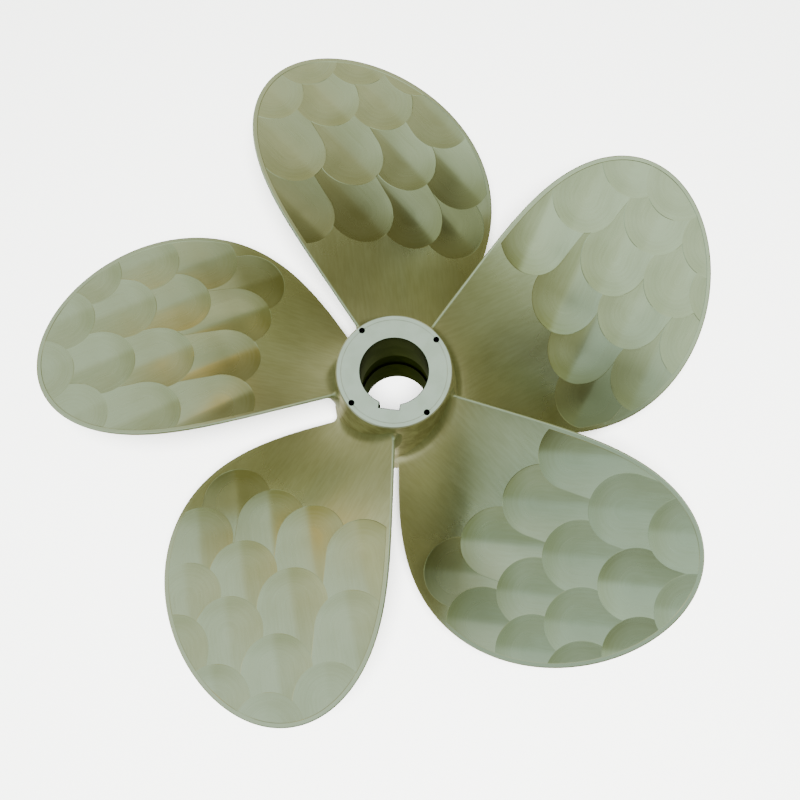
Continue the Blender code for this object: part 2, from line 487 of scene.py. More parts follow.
@dataclass
class MeshParts:
    """Points, faces and grinding directions gathered for one mesh."""

    points: list[np.ndarray] = field(default_factory=list)
    faces: list[tuple[int, ...]] = field(default_factory=list)
    strokes: list[np.ndarray] = field(default_factory=list)
    marked: list[float] = field(default_factory=list)
    tones: list[float] = field(default_factory=list)
    painted_shade: list[float] = field(default_factory=list)
    count: int = 0

    def add_points(self, points: np.ndarray) -> np.ndarray:
        """Add points, and return their numbers in the same arrangement.

        Args:
            points: Points in any arrangement, each with three coordinates.

        Returns:
            Their numbers.
        """
        flat = points.reshape(-1, 3)
        self.points.append(flat)
        numbers = np.arange(self.count, self.count + len(flat)).reshape(points.shape[:-1])
        self.count += len(flat)
        return numbers

    def add_face(
        self, corners: Sequence[int], stroke: np.ndarray, marked: float, tone: float, painted_shade: float
    ) -> None:
        """Add one face.

        Args:
            corners: Numbers of its points.
            stroke: Place of each corner in the directions of the grinding.
            marked: 1 inside a disc mark, or 0.
            tone: How much the grinding shows.
            painted_shade: How much painted shade darkens the face.
        """
        self.faces.append(tuple(int(corner) for corner in corners))
        self.strokes.append(stroke)
        self.marked.append(marked)
        self.tones.append(tone)
        self.painted_shade.append(painted_shade)

    def add_grid(self, numbers: np.ndarray, plan: np.ndarray, tone: float, darkening: float) -> None:
        """Join rows of points with four-sided faces.

        Args:
            numbers: Numbers of the points, in rows.
            plan: Places of the points on the plan.
            tone: How much the grinding shows.
            darkening: How strong the painted shade on the leading side of the root is.
        """
        for row in range(numbers.shape[0] - 1):
            for column in range(numbers.shape[1] - 1):
                spots = ((row, column), (row, column + 1), (row + 1, column + 1), (row + 1, column))
                corners = [numbers[spot] for spot in spots]
                places = np.array([plan[spot] for spot in spots])
                # Painted shade on the leading side of the root, where the neighbouring blade hides the
                # surroundings.
                painted_shade = float(root_shade_at(places.mean(axis=0))) * darkening
                self.add_face(corners, places, 0.0, tone, painted_shade)

    def build(self, name: str) -> bpy.types.Object:
        """Make the mesh object, with its grinding map and what ground each face.

        Args:
            name: Name of the object.

        Returns:
            The new object, linked into the scene.
        """
        data = bpy.data.meshes.new(name)
        data.from_pydata(np.concatenate(self.points).tolist(), [], self.faces)
        strokes = data.uv_layers.new(name="stroke")
        strokes.uv.foreach_set("vector", np.concatenate(self.strokes).astype(np.float32).ravel())
        values = {"marked": self.marked, "tone": self.tones, "painted_shade": self.painted_shade}
        for attribute, numbers in values.items():
            stored = data.attributes.new(attribute, "FLOAT", "FACE")
            stored.data.foreach_set("value", np.array(numbers, np.float32))
        data.validate()
        made = bpy.data.objects.new(name, data)
        bpy.context.scene.collection.objects.link(made)
        return made


def select_only(piece: bpy.types.Object) -> None:
    """Select one object and make it the active one.

    Args:
        piece: The object to select.
    """
    if bpy.context.object and bpy.context.object.mode != "OBJECT":
        bpy.ops.object.mode_set(mode="OBJECT")
    bpy.ops.object.select_all(action="DESELECT")
    piece.select_set(True)
    bpy.context.view_layer.objects.active = piece


def close_mesh(piece: bpy.types.Object, gap: float) -> None:
    """Join points that lie within a gap of each other, and turn every face outwards.

    Args:
        piece: The object whose mesh is closed.
        gap: The greatest distance between points that are joined.
    """
    select_only(piece)
    bpy.ops.object.mode_set(mode="EDIT")
    bpy.ops.mesh.select_all(action="SELECT")
    bpy.ops.mesh.remove_doubles(threshold=gap)
    bpy.ops.mesh.normals_make_consistent(inside=False)
    bpy.ops.object.mode_set(mode="OBJECT")


def soften(piece: bpy.types.Object, angle: float) -> None:
    """Shade smooth, apart from edges sharper than an angle in degrees."""
    select_only(piece)
    bpy.ops.object.shade_smooth_by_angle(angle=math.radians(angle))


def weigh_normals(piece: bpy.types.Object) -> None:
    """Let the wide faces set the shading, so that thin steps don't darken what is beside them.

    Args:
        piece: The object to shade.
    """
    select_only(piece)
    modifier = piece.modifiers.new("weighted_normals", "WEIGHTED_NORMAL")
    modifier.mode = "FACE_AREA"
    modifier.keep_sharp = True
    bpy.ops.object.modifier_apply(modifier=modifier.name)


def dress(piece: bpy.types.Object, finishes: Iterable[bpy.types.Material]) -> None:
    """Give a piece its finishes and its place in the frame, and hide the casting it stands for.

    Args:
        piece: The object to dress.
        finishes: Its materials, in the order of its slots.
    """
    piece.data.materials.clear()
    for finish in finishes:
        piece.data.materials.append(finish)
    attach(piece, BODY)
    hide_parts(CASTING)
    log.info("%s: %d faces", piece.name, len(piece.data.polygons))


def inside_loop(points: np.ndarray, loop: np.ndarray) -> np.ndarray:
    """Whether each point of a plane lies inside a closed loop.

    Args:
        points: Points of the plane.
        loop: Corners of the loop in order.

    Returns:
        True for each point inside.
    """
    result = np.zeros(len(points), bool)
    following = np.roll(loop, -1, axis=0)
    for (x_one, y_one), (x_two, y_two) in zip(loop, following):
        if y_one == y_two:
            continue
        crosses = (points[:, 1] > y_one) != (points[:, 1] > y_two)
        where = x_one + (points[:, 1] - y_one) * (x_two - x_one) / (y_two - y_one)
        result ^= crosses & (points[:, 0] < where)
    return result


def distance_to_line(points: np.ndarray, line: np.ndarray) -> np.ndarray:
    """Distance of each point in space to a line of short pieces.

    Args:
        points: Points in space.
        line: Points along the line.

    Returns:
        The distance of each point.
    """
    best = np.full(len(points), np.inf)
    for start, end in zip(line[:-1], line[1:]):
        step = end - start
        share = np.clip(((points - start) @ step) / max(step @ step, 1e-12), 0.0, 1.0)
        gap = points - start - share[:, None] * step
        best = np.minimum(best, dot(gap, gap))
    return np.sqrt(best)


@dataclass
class Blade:
    """One blade: ground faces with disc marks, a rounded edge and a flared root.

    Its places are given on three sheets: the plan, as for DiscMark; the chart, which is the place
    along the helix and the distance from the shaft axis; and space.
    """

    number: int
    finish: bpy.types.Material
    outline_steps: int = 150
    nose_steps: int = 6
    root_steps: int = 56
    fillet_steps: int = 12
    spacing: float = 3.1 * MM
    line_spacing: float = 2.0 * MM
    # The disc stopped short of the edge, and of the root. Each mark's rim is a narrow step.
    border: float = 6.5 * MM
    marks_start: float = 195 * MM
    marks_fade: float = 10 * MM
    border_fade: tuple[float, float] = (200 * MM, 270 * MM)
    step_width: float = 0.8 * MM
    # A mark's outline stops this far from the tip, and runs this far on below a later mark.
    tip_margin: float = 2 * MM
    overlap: float = 0.2 * MM
    same_point: float = 0.001 * MM
    plan_turn: float = math.radians(14)
    # Keeps the dressed blade just inside the part's solid.
    sink: float = 0.3 * MM
    trim: float = 0.45 * MM

    def plan_of(self, along: np.ndarray, radius: np.ndarray, out: np.ndarray) -> np.ndarray:
        """Places on the plan: to the leading side, and up away from the shaft.

        Args:
            along: Places along the helix.
            radius: Distances from the shaft axis.
            out: Distances from the helix, towards the pressure side.

        Returns:
            The places on the plan.
        """
        angle = BLADE.angle(radius / BLADE.tip_radius)
        azimuth = (along * np.cos(angle) - out * np.sin(angle)) / radius + self.plan_turn
        return np.stack([-radius * np.sin(azimuth), radius * np.cos(azimuth)], axis=-1)

    def chart_of(self, plan: np.ndarray, side: Side) -> np.ndarray:
        """Places on the unrolled sections, (along, radius), of places on the plan.

        Args:
            plan: Places on the plan.
            side: The side of the blade that they lie on.

        Returns:
            Place along the helix and distance from the shaft axis, for each place.
        """
        radius = np.hypot(plan[..., 0], plan[..., 1])
        turn = -np.arctan2(plan[..., 0], plan[..., 1]) - self.plan_turn
        angle = BLADE.angle(radius / BLADE.tip_radius)
        along = turn * radius / np.cos(angle)
        rounds_to_settle = 12
        for _ in range(rounds_to_settle):
            out = BLADE.out(side, along, radius)
            along = (turn * radius + out * np.sin(angle)) / np.cos(angle)
        return np.stack([along, radius], axis=-1)

    def edge_line(self, inset: float) -> tuple[np.ndarray, np.ndarray]:
        """Line along the blade's edge from the leading root, round the tip, to the trailing root.

        Args:
            inset: How far the line lies inside the outline.

        Returns:
            Its places on the unrolled sections, and the outward directions along it.
        """
        sweep = np.linspace(1.0, -1.0, 2 * self.outline_steps + 1)
        tip = BLADE.tip_radius - self.trim
        starts = np.where(sweep > 0, self.leading_start, self.trailing_start)
        radius = tip - (tip - starts) * sweep * sweep
        place = np.minimum(radius / tip, 1.0)
        hand = np.where(sweep > 0, -1.0, 1.0)
        along = BLADE.middle(place) + hand * (BLADE.half_width(place) - self.trim * (place < 1.0))
        nudge = 0.1 * MM
        none = np.zeros_like(along)
        here = BLADE.point(along, radius, none)
        by_along = BLADE.point(along + nudge, radius, none) - BLADE.point(along - nudge, radius, none)
        by_radius = BLADE.point(along, radius + nudge, none) - BLADE.point(along, radius - nudge, none)
        by_along /= 2 * nudge
        by_radius /= 2 * nudge
        normal = unit(np.cross(by_along, by_radius))
        tangent = unit(np.gradient(here, axis=0))
        outward = unit(np.cross(tangent, normal))
        inwards = dot(outward, here - here.mean(axis=0)) < 0
        outward[inwards] *= -1.0
        # Near the root the edge is rounded straight along the helix, to meet the flared root.
        plain = unit(by_along) * hand[:, None]
        blend = smooth_step(0.0, 40 * MM, radius - starts)[:, None]
        outward = unit(plain * (1 - blend) + outward * blend)
        along_length = dot(by_along, by_along)
        radius_length = dot(by_radius, by_radius)
        shared = dot(by_along, by_radius)
        out_along = dot(outward, by_along)
        out_radius = dot(outward, by_radius)
        spread = along_length * radius_length - shared * shared
        along = along - inset * (out_along * radius_length - out_radius * shared) / spread
        radius = radius - inset * (out_radius * along_length - out_along * shared) / spread
        return np.stack([along, radius], axis=-1), outward

    def root_section(
        self, radii: np.ndarray, offsets: np.ndarray, shift: int = 0
    ) -> tuple[np.ndarray, np.ndarray]:
        """Loop of section points near the root, each at its own radius.

        Args:
            radii: Radius of each point of the loop.
            offsets: How far each point is moved out of the section.
            shift: Number of places to look ahead round the loop.

        Returns:
            Place along the helix and place out of it, for each point.
        """
        across = np.roll(self.loop_across, -shift)
        turn = np.roll(self.loop_turn, -shift)
        kind = np.roll(self.loop_kind, -shift)
        place = radii / BLADE.tip_radius
        nose = BLADE.nose(place)
        flat = BLADE.half_width(place) - nose
        middle = BLADE.middle(place)
        along = middle + flat * across
        out = np.where(kind == LoopPart.FACE, nose, BLADE.out(Side.BACK, along, radii))
        rounded = (kind == LoopPart.LEADING_NOSE) | (kind == LoopPart.TRAILING_NOSE)
        hand = np.where(kind == LoopPart.LEADING_NOSE, -1.0, 1.0)
        along = np.where(rounded, middle + hand * (flat + nose * np.sin(turn)), along)
        out = np.where(rounded, -hand * nose * np.cos(turn), out)
        if shift or not np.any(offsets):
            return along, out
        before = self.root_section(radii, offsets * 0, -1)
        after = self.root_section(radii, offsets * 0, 1)
        step = np.stack([after[0] - before[0], after[1] - before[1]])
        step /= np.hypot(*step)
        return along + step[1] * offsets, out - step[0] * offsets

    def lay_out_root(self) -> None:
        """Work out the loop round the root section and where the blade's faces start."""
        steps = self.root_steps
        across = np.sin(math.pi / 2 * (1 - 2 * np.arange(steps + 1) / steps))
        turns = math.pi * np.arange(1, self.nose_steps) / self.nose_steps
        ends = np.ones(len(turns))
        self.loop_across = np.concatenate([across, -ends, -across, ends])
        none = np.zeros(steps + 1)
        self.loop_turn = np.concatenate([none, turns, none, turns])
        lengths = (steps + 1, len(turns), steps + 1, len(turns))
        self.loop_kind = np.repeat(np.array([int(part) for part in LoopPart]), lengths)
        spread = 1 - self.loop_across ** 2
        self.fillets = BLADE.edge_fillet + (BLADE.face_fillet - BLADE.edge_fillet) * spread
        nominal = np.full(len(self.loop_across), BLADE.nominal_root * BLADE.tip_radius)
        foot_along, foot_out = self.root_section(nominal, self.fillets)
        self.feet = HUB.radius(BLADE.height(foot_along, nominal, foot_out))
        self.starts = self.feet - BLADE.fillet_sink + self.fillets
        self.leading_start = self.starts[steps]
        self.trailing_start = self.starts[0]

    def root_rows(self) -> tuple[np.ndarray, np.ndarray]:
        """Rows of points of the flared root, from inside the hub to where the faces start.

        Returns:
            The points of each row, and their places on the plan.
        """
        rows = []
        plans = []
        buried = np.full(len(self.feet), BLADE.edge_fillet / 2)
        radii_and_offsets = [(self.feet - BLADE.root_depth, buried)]
        for step in range(self.fillet_steps + 1):
            turn = math.pi / 2 * step / self.fillet_steps
            rise = self.fillets - BLADE.fillet_sink + self.sink
            radii = self.feet - self.sink + rise * (1 - math.cos(turn))
            radii_and_offsets.append((radii, self.fillets * (1 - math.sin(turn))))
        for radii, offsets in radii_and_offsets:
            along, out = self.root_section(radii, offsets)
            rows.append(BLADE.point(along, radii, out))
            plans.append(self.plan_of(along, radii, out))
        return np.array(rows), np.array(plans)

    def add_root(self, parts: MeshParts) -> None:
        """Add the flared root and close its end inside the hub.

        Args:
            parts: Where the points and faces go.
        """
        points, plans = self.root_rows()
        points = np.concatenate([points, points[:, :1]], axis=1)
        plans = np.concatenate([plans, plans[:, :1]], axis=1)
        numbers = parts.add_points(points)
        # The root's faces get the painted shade of the leading side too.
        parts.add_grid(numbers, plans, 0.0, LEAD_ROOT_SHADE[self.number] * OPEN_ROOT_SHADE)
        steps = self.root_steps
        noses = self.nose_steps
        face = numbers[0, :steps + 1]
        back = numbers[0, steps + noses:2 * steps + noses + 1][::-1]
        flat = np.zeros((4, 2))
        for index in range(steps):
            corners = (face[index], face[index + 1], back[index + 1], back[index])
            parts.add_face(corners, flat, 0.0, 0.0, 0.0)
        for end in (numbers[0, steps:steps + noses + 1], numbers[0, 2 * steps + noses:]):
            parts.add_face(end, np.zeros((len(end), 2)), 0.0, 0.0, 0.0)

    def add_nose(self, parts: MeshParts) -> None:
        """Add the rounded edge all round the blade.

        Args:
            parts: Where the points and faces go.
        """
        line, outward = self.edge_line(BLADE.nose_inset())
        along, radius = line.T
        nose = BLADE.nose(radius / BLADE.tip_radius)
        top = BLADE.point(along, radius, BLADE.out(Side.FACE, along, radius))
        bottom = BLADE.point(along, radius, BLADE.out(Side.BACK, along, radius))
        turns = math.pi * np.arange(self.nose_steps + 1) / self.nose_steps
        centre = (top + bottom) / 2
        rows = []
        for turn in turns:
            spread = (top - bottom) / 2 * math.cos(turn)
            rows.append(centre + spread + outward * (nose * math.sin(turn))[:, None])
        rows = np.array(rows)
        points, _ = self.root_rows()
        steps = self.root_steps
        rows[:, 0] = points[-1, steps:steps + self.nose_steps + 1]
        trailing = np.concatenate([points[-1, 2 * steps + self.nose_steps:], points[-1, :1]])
        rows[:, -1] = trailing[::-1]
        numbers = parts.add_points(rows)
        plan = self.plan_of(along, radius, nose * 0)
        plans = np.broadcast_to(plan, rows.shape[:2] + (2,))
        # The edge's faces get the painted shade of the leading side too.
        parts.add_grid(numbers, plans, 1.0, LEAD_ROOT_SHADE[self.number] * OPEN_ROOT_SHADE)

    def sheet_boundary(self, side: Side) -> np.ndarray:
        """Closed boundary of one side of the blade, on the unrolled sections.

        Args:
            side: The side of the blade.

        Returns:
            The points of the boundary in order.
        """
        line, _ = self.edge_line(BLADE.nose_inset())
        steps = self.root_steps
        if side is Side.FACE:
            radii = self.starts[:steps + 1]
            across = self.loop_across[:steps + 1]
        else:
            first = steps + self.nose_steps
            radii = self.starts[first:first + steps + 1][::-1]
            across = self.loop_across[first:first + steps + 1][::-1]
        place = radii / BLADE.tip_radius
        along = BLADE.middle(place) + (BLADE.half_width(place) - BLADE.nose(place)) * across
        start_row = np.stack([along, radii], axis=-1)
        line[0] = start_row[-1]
        line[-1] = start_row[0]
        return np.concatenate([line, start_row[1:-1]])

    def ground_lines(self, side: Side, marks: Sequence[DiscMark], edge: np.ndarray) -> list[np.ndarray]:
        """Lines that the mesh follows: both sides of each step at a mark's outline or the border.

        Args:
            side: The side of the blade.
            marks: Disc marks, each over the ones before it.
            edge: Line of the blade's outline in space.

        Returns:
            Lines on the unrolled sections.
        """
        lines = []
        for inset in (self.border, self.border + self.step_width):
            line, _ = self.edge_line(inset)
            lines.append(line[line[:, 1] > self.marks_start])
        for index, mark in enumerate(marks):
            for inset in (0.0, self.step_width):
                plan = mark.outline(inset, self.line_spacing)
                chart = self.chart_of(plan, side)
                along, radius = chart.T
                seen = (radius < BLADE.tip_radius - self.tip_margin) & (plan[:, 1] > 0)
                for later in marks[index + 1:]:
                    seen &= later.inside(plan) < self.overlap
                space = BLADE.point(along, radius, along * 0)
                seen &= distance_to_line(space, edge) > self.border
                place = radius / BLADE.tip_radius
                half = BLADE.half_width(np.minimum(place, 1.0))
                seen &= np.abs(along - BLADE.middle(place)) < half
                lines.extend(self.runs_of(chart, seen))
        return lines

    @staticmethod
    def runs_of(chart: np.ndarray, seen: np.ndarray) -> list[np.ndarray]:
        """Split a line into the runs that show, each with one more point at either end.

        Args:
            chart: Points of the line.
            seen: Whether each point shows.

        Returns:
            The runs, each of three points or more.
        """
        runs = []
        padded = np.concatenate([[False], seen, [False]])
        starts = np.flatnonzero(~padded[:-1] & padded[1:])
        ends = np.flatnonzero(padded[:-1] & ~padded[1:])
        for start, end in zip(starts, ends):
            first = max(start - 1, 0)
            last = min(end + 1, len(chart))
            if last - first > 2:
                runs.append(chart[first:last])
        return runs

    def filling(self, boundary: np.ndarray, fixed: np.ndarray) -> np.ndarray:
        """Points that fill a boundary evenly and stay clear of the fixed points.

        Args:
            boundary: Points of the boundary in order.
            fixed: Points to stay clear of.

        Returns:
            The points inside.
        """
        low = boundary.min(axis=0)
        high = boundary.max(axis=0)
        rise = self.spacing * math.sqrt(3) / 2
        rows = np.arange(low[1], high[1], rise)
        columns = np.arange(low[0], high[0], self.spacing)
        grid = np.stack(np.meshgrid(columns, rows), axis=-1)
        grid[1::2, :, 0] += self.spacing / 2
        grid = grid.reshape(-1, 2)
        grid = grid[inside_loop(grid, boundary)]
        cell = self.spacing * 0.45
        taken = set()
        for spot in np.floor((fixed - low) / cell).astype(int):
            for right in (-1, 0, 1):
                for up in (-1, 0, 1):
                    taken.add((spot[0] + right, spot[1] + up))
        spots = np.floor((grid - low) / cell).astype(int)
        keep = [tuple(spot) not in taken for spot in spots]
        return grid[np.array(keep)]

    def add_sheet(self, parts: MeshParts, side: Side, marks: Sequence[DiscMark]) -> None:
        """Add the face or the back, with every disc mark cut into it.

        Args:
            parts: Where the points and faces go.
            side: The side of the blade.
            marks: Disc marks, each over the ones before it.
        """
        boundary = self.sheet_boundary(side)
        edge_chart, _ = self.edge_line(0.0)
        edge = BLADE.point(edge_chart[:, 0], edge_chart[:, 1], edge_chart[:, 0] * 0)
        lines = self.ground_lines(side, marks, edge)
        fixed = [boundary]
        edges = [(i, (i + 1) % len(boundary)) for i in range(len(boundary))]
        count = len(boundary)
        for line in lines:
            line = line[inside_loop(line, boundary)]
            if len(line) < 2:
                continue
            edges.extend((count + i, count + i + 1) for i in range(len(line) - 1))
            fixed.append(line)
            count += len(line)
        fixed = np.concatenate(fixed)
        chart = np.concatenate([fixed, self.filling(boundary, fixed)])
        spots = [Vector((float(x), float(y))) for x, y in chart]
        points, _, faces, *_ = delaunay_2d_cdt(spots, edges, [], 0, self.same_point)
        chart = np.array([(spot.x, spot.y) for spot in points])
        triangles = np.array([face for face in faces if len(face) == 3])
        centres = chart[triangles].mean(axis=1)
        triangles = triangles[inside_loop(centres, boundary)]
        along, radius = chart.T
        base = BLADE.out(side, along, radius)
        plan = self.plan_of(along, radius, base)
        space = BLADE.point(along, radius, along * 0)
        within = np.clip((distance_to_line(space, edge) - self.border) / self.step_width, 0.0, 1.0)
        within *= smooth_step(self.marks_start - self.marks_fade, self.marks_start, radius)
        depth = np.zeros(len(chart))
        for mark in marks:
            share = np.clip(mark.inside(plan) / self.step_width, 0.0, 1.0)
            depth = depth * (1 - share) + mark.cut(plan) * share
        depth *= within
        towards_middle = -1.0 if side is Side.FACE else 1.0
        points = BLADE.point(along, radius, base + towards_middle * depth)
        numbers = parts.add_points(points)
        self.add_triangles(parts, numbers, triangles, plan, marks, within)

    def add_triangles(
        self,
        parts: MeshParts,
        numbers: np.ndarray,
        triangles: np.ndarray,
        plan: np.ndarray,
        marks: Sequence[DiscMark],
        within: np.ndarray,
    ) -> None:
        """Add the triangles of a sheet, each with the mark that shows there.

        Args:
            parts: Where the faces go.
            numbers: Numbers of the points.
            triangles: Corners of the triangles.
            plan: Places of the points on the plan.
            marks: Disc marks, each over the ones before it.
            within: How far each point is inside the border, from 0 to 1.
        """
        centres = plan[triangles].mean(axis=1)
        owner = np.full(len(triangles), -1)
        inner = within[triangles].mean(axis=1) > 0.1
        for index, mark in enumerate(marks):
            owner[(mark.inside(centres) > self.step_width / 8) & inner] = index
        borders = smooth_step(*self.border_fade, np.hypot(*centres.T)) * ~inner
        # Painted shade on the leading side of the root, deeper still in marks that carry painted shade
        # of their own.
        root_shades = root_shade_at(centres) * LEAD_ROOT_SHADE[self.number]
        for corners, held, border, dull in zip(triangles, owner, borders, root_shades):
            places = plan[corners]
            if held < 0:
                parts.add_face(numbers[corners], places, 0.0, border, dull * OPEN_ROOT_SHADE)
                continue
            mark = marks[held]
            stroke = np.stack(mark.along_and_across(places, mark.groove_lean), axis=-1)
            painted_shade = dull + mark.darkening * (1 - dull)
            parts.add_face(numbers[corners], stroke, 1.0, mark.strength, painted_shade)

    def build(self) -> None:
        """Make the blade at its own place round the hub, and dress it."""
        self.lay_out_root()
        parts = MeshParts()
        self.add_root(parts)
        self.add_nose(parts)
        face_marks = marks_of(FACE_MARKS[self.number], FACE_PRESSES[self.number])
        self.add_sheet(parts, Side.FACE, face_marks)
        self.add_sheet(parts, Side.BACK, marks_of(back_rows(self.number), BACK_PRESSES))
        turn = 2 * math.pi * self.number / BLADE.count
        cosine = math.cos(turn)
        sine = math.sin(turn)
        spin = np.array([[cosine, -sine, 0.0], [sine, cosine, 0.0], [0.0, 0.0, 1.0]])
        parts.points = [points @ spin.T for points in parts.points]
        piece = parts.build(f"blade_{self.number + 1}")
        close_mesh(piece, 0.02 * MM)
        soften(piece, 12)
        weigh_normals(piece)
        dress(piece, [self.finish])


class Graph:
    """Nodes of one material, or of the world.

    A noise takes the place, the number of its waves in a metre, and its detail. A map range takes
    a value, the two ends it is read between, and what it gives at each of them.
    """

    def __init__(self, owner: bpy.types.ID) -> None:
        """Start adding nodes to a material or to the world."""
        self.tree = owner.node_tree

    def add(self, kind: str, *inputs: object, **settings: object) -> bpy.types.Node:
        """Add one node, with its settings and what feeds its inputs.

        Args:
            kind: The node's type, without ShaderNode in front.
            inputs: For each input in use, in order: a socket or node to link, or a value to set.
            settings: Values of the node's own settings.

        Returns:
            The new node.
        """
        node = self.tree.nodes.new("ShaderNode" + kind)
        for name, value in settings.items():
            setattr(node, name, value)
        sockets = [socket for socket in node.inputs if socket.enabled]
        for socket, value in zip(sockets, inputs):
            if isinstance(value, bpy.types.Node):
                value = next(output for output in value.outputs if output.enabled)
            if isinstance(value, bpy.types.NodeSocket):
                self.tree.links.new(value, socket)
            else:
                socket.default_value = value
        return node


# Most of what a noise gives lies between these.
NOISE_SPAN = (0.3, 0.7)


@dataclass(frozen=True)
class Bronze:
    """What every finish of the nickel-aluminium bronze shares: bare metal in two tones, in patches.

    The patches are as large as on the real casting. The tool marks on it are 0.1 mm to 0.3 mm wide,
    too fine to show in a picture of the whole propeller. A finish that shows them draws them coarser.
    """

    name: str
    pale: str
    dull: str
    roughness: float
    patch_size: float = 30 * MM
    patch_detail: float = 3.0
    patch_limits: tuple[float, float] = (0.35, 0.65)
    patch_shares: tuple[float, float] = (0.0, 1.0)

    def make(self) -> bpy.types.Material:
        """Build the material.

        Returns:
            The material.
        """
        material = bpy.data.materials.new(self.name)
        material.use_nodes = True
        shader = material.node_tree.nodes["Principled BSDF"]
        shader.inputs["Metallic"].default_value = 1.0
        shader.inputs["Base Color"].default_value = linear(self.pale)
        shader.inputs["Roughness"].default_value = self.roughness
        self.work(Graph(material), shader)
        return material

    def work(self, graph: Graph, shader: bpy.types.Node) -> None:
        """Give the metal its patches. Each finish adds the traces of how it was worked."""
        self.colour(graph, shader, self.patches(graph))

    def patches(self, graph: Graph) -> bpy.types.Node:
        """Soft patches, as shares of the dull tone.

        Args:
            graph: Nodes of the material.

        Returns:
            The node that gives the share.
        """
        place = graph.add("TexCoord").outputs["Object"]
        noise = graph.add("TexNoise", place, 1 / self.patch_size, self.patch_detail)
        limits = self.patch_limits + self.patch_shares
        return graph.add("MapRange", noise, *limits, interpolation_type="SMOOTHSTEP")

    def from_axis(self, graph: Graph) -> bpy.types.Node:
        """Distance from the shaft axis.

        Args:
            graph: Nodes of the material.

        Returns:
            The node that gives the distance.
        """
        place = graph.add("SeparateXYZ", graph.add("TexCoord").outputs["Object"])
        flat = graph.add("CombineXYZ", place.outputs[0], place.outputs[1])
        return graph.add("VectorMath", flat, operation="LENGTH")

    def colour(self, graph: Graph, shader: bpy.types.Node, share: bpy.types.Node) -> bpy.types.Node:
        """Blend the pale and the dull tone.

        Args:
            graph: Nodes of the material.
            shader: The material's shader.
            share: Node that gives the share of the dull tone.

        Returns:
            The node that blends them.
        """
        share = graph.add("Math", share, 0.0, operation="MAXIMUM")
        tones = (linear(self.pale), linear(self.dull))
        blend = graph.add("Mix", share, *tones, data_type="RGBA")
        graph.tree.links.new(blend.outputs[2], shader.inputs["Base Color"])
        return blend

    def shape(self, graph: Graph, shader: bpy.types.Node, height: bpy.types.Node) -> None:
        """Shade the surface as if it were raised.

        Args:
            graph: Nodes of the material.
            shader: The material's shader.
            height: Node that gives the height in metres.
        """
        bump = graph.add("Bump", 1.0, 1.0)
        graph.tree.links.new(height.outputs[0], bump.inputs["Height"])
        graph.tree.links.new(bump.outputs[0], shader.inputs["Normal"])


class GrindingMap:
    """What the mesh of a blade stores about its grinding and its painted shade, as sockets of one
    material.
    """

    def __init__(self, graph: Graph) -> None:
        """Read the map and the attributes.

        Args:
            graph: Nodes of the material.
        """
        place = graph.add("SeparateXYZ", graph.add("UVMap", uv_map="stroke"))
        self.along = place.outputs[0]
        self.across = place.outputs[1]
        self.marked, self.tone, self.painted_shade = (
            graph.add("Attribute", attribute_name=name).outputs["Fac"]
            for name in ("marked", "tone", "painted_shade")
        )
        end = graph.add("Math", self.along, 0.0, operation="MAXIMUM")
        self.end_square = graph.add("Math", end, end, operation="MULTIPLY")
        self.across_square = graph.add("Math", self.across, self.across, operation="MULTIPLY")


